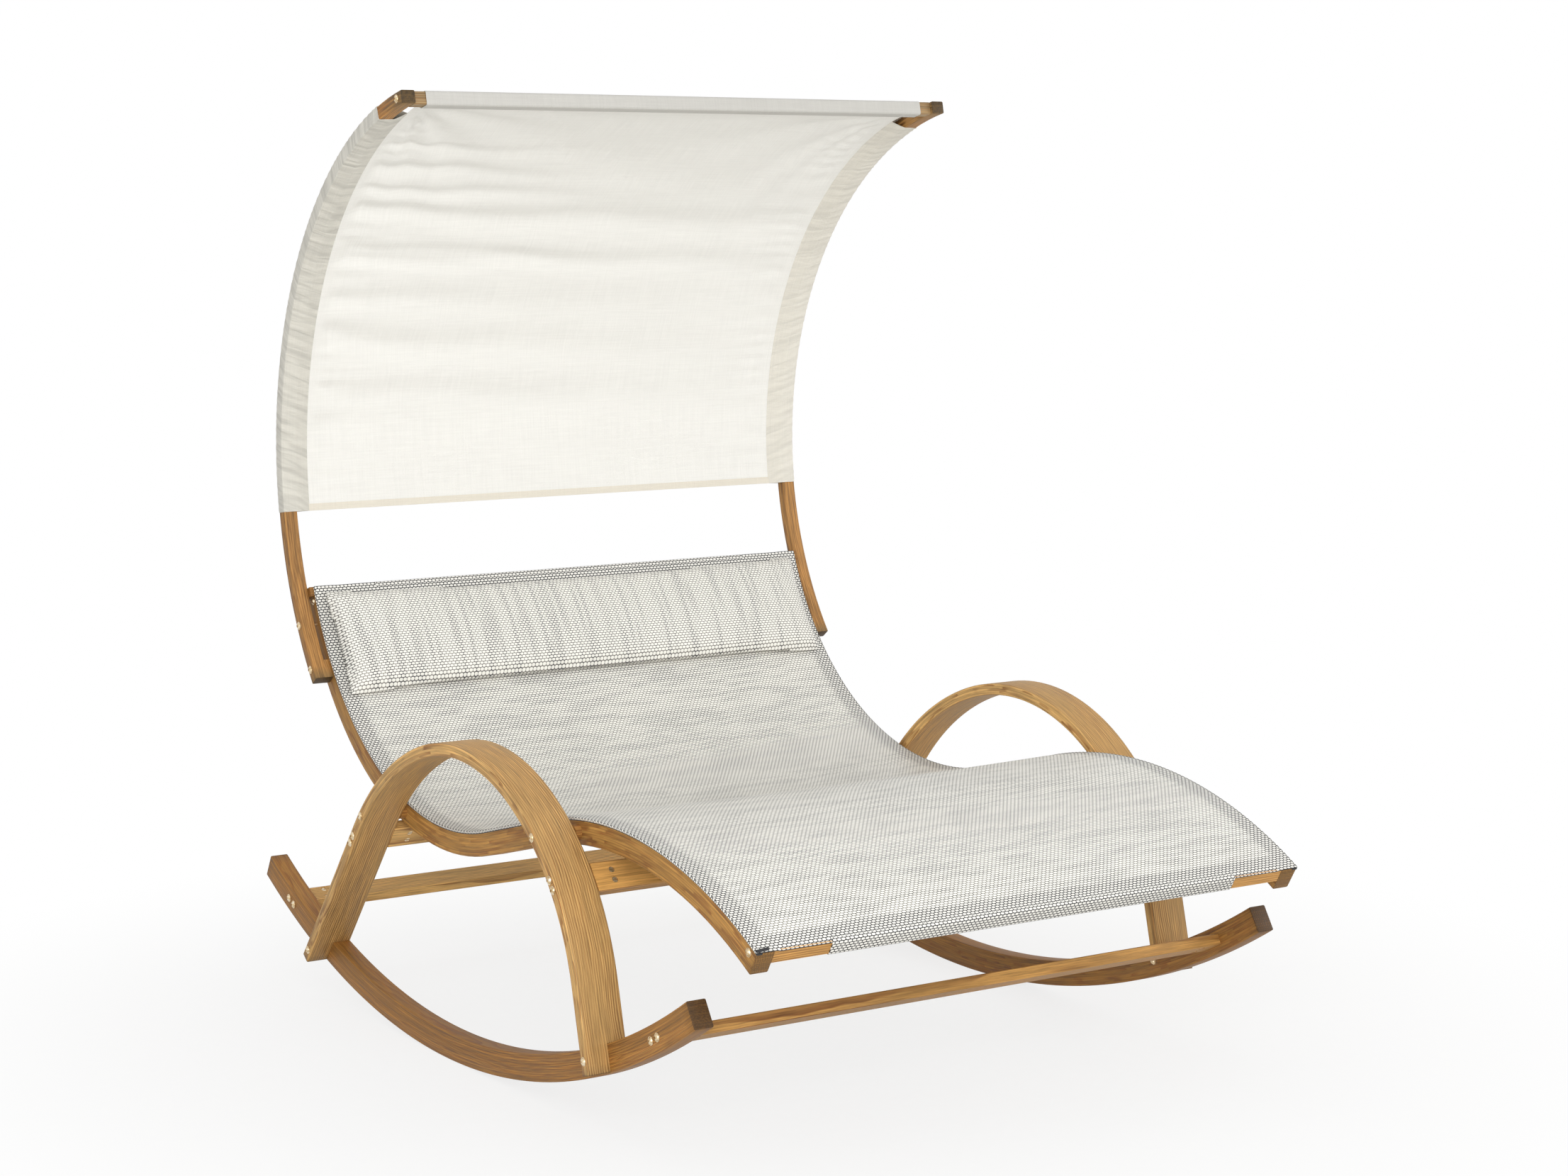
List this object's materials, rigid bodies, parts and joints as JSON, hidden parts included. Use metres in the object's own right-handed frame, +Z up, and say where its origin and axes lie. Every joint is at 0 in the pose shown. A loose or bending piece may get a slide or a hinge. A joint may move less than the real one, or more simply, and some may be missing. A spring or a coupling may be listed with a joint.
{
  "type": "double rocking lounger",
  "caption": "Wide rocking sun lounger: bent laminated wood runners, arches and rails, a mesh sling, a lift-up headrest pillow and a cloth canopy on curved posts.",
  "frame": {"origin": "on the floor, in the middle of the lounger's footprint box", "axes": "+X to the right as seen from the foot end, across the lounger; -Y towards the foot end, +Y towards the head end; +Z up"},
  "size_m": [1.5172, 2.0067, 2.0072],
  "materials": {
    "frame_wood": "oiled laminated softwood, satin",
    "spacer_wood": "oiled softwood, satin",
    "fastener_steel": "yellow passivated zinc",
    "edging": "matt extruded edging",
    "seat_mesh": "coated yarn, open woven mesh",
    "pillow_cover": "woven mesh cover over a soft filling",
    "canopy_cloth": "plain woven cloth, slightly translucent"
  },
  "bodies": {
    "frame": {"left_runner": "frame_wood", "right_runner": "frame_wood", "left_arch": "frame_wood", "right_arch": "frame_wood", "left_seat_rail": "frame_wood", "right_seat_rail": "frame_wood", "foot_bar": "frame_wood", "head_bar": "frame_wood", "upper_front_crossbar": "frame_wood", "upper_rear_crossbar": "frame_wood", "lower_front_crossbar": "frame_wood", "lower_rear_crossbar": "frame_wood", "left_canopy_post": "frame_wood", "right_canopy_post": "frame_wood", "canopy_bar": "frame_wood", "left_post_spacer": "spacer_wood", "right_post_spacer": "spacer_wood", "arch_spacers": "spacer_wood", "arch_rail_bolts": "fastener_steel", "arch_crossbar_bolts": "fastener_steel", "lap_bolts": "fastener_steel", "runner_crossbar_bolts": "fastener_steel", "end_bar_bolts": "fastener_steel", "post_bolts": "fastener_steel", "canopy_bar_bolts": "fastener_steel", "bolt_washers": "fastener_steel", "arch_rail_nuts": "fastener_steel", "lap_nuts": "fastener_steel", "post_nuts": "fastener_steel", "arch_barrel_nuts": "fastener_steel", "runner_barrel_nuts": "fastener_steel", "end_bar_barrel_nuts": "fastener_steel", "canopy_barrel_nuts": "fastener_steel", "sling": "seat_mesh", "left_edging": "edging", "right_edging": "edging", "canopy_panel": "canopy_cloth", "left_post_sleeve": "canopy_cloth", "right_post_sleeve": "canopy_cloth", "canopy_bar_sleeve": "canopy_cloth"},
    "pillow": {"headrest_pillow": "pillow_cover"}
  },
  "joints": [
    {"name": "headrest_flip", "type": "hinge", "parent": "frame", "child": "pillow", "pos_m": [0, 0.82347, 0.90355], "axis": [-1, 0, 0], "range_deg": [0, 100]}
  ]
}
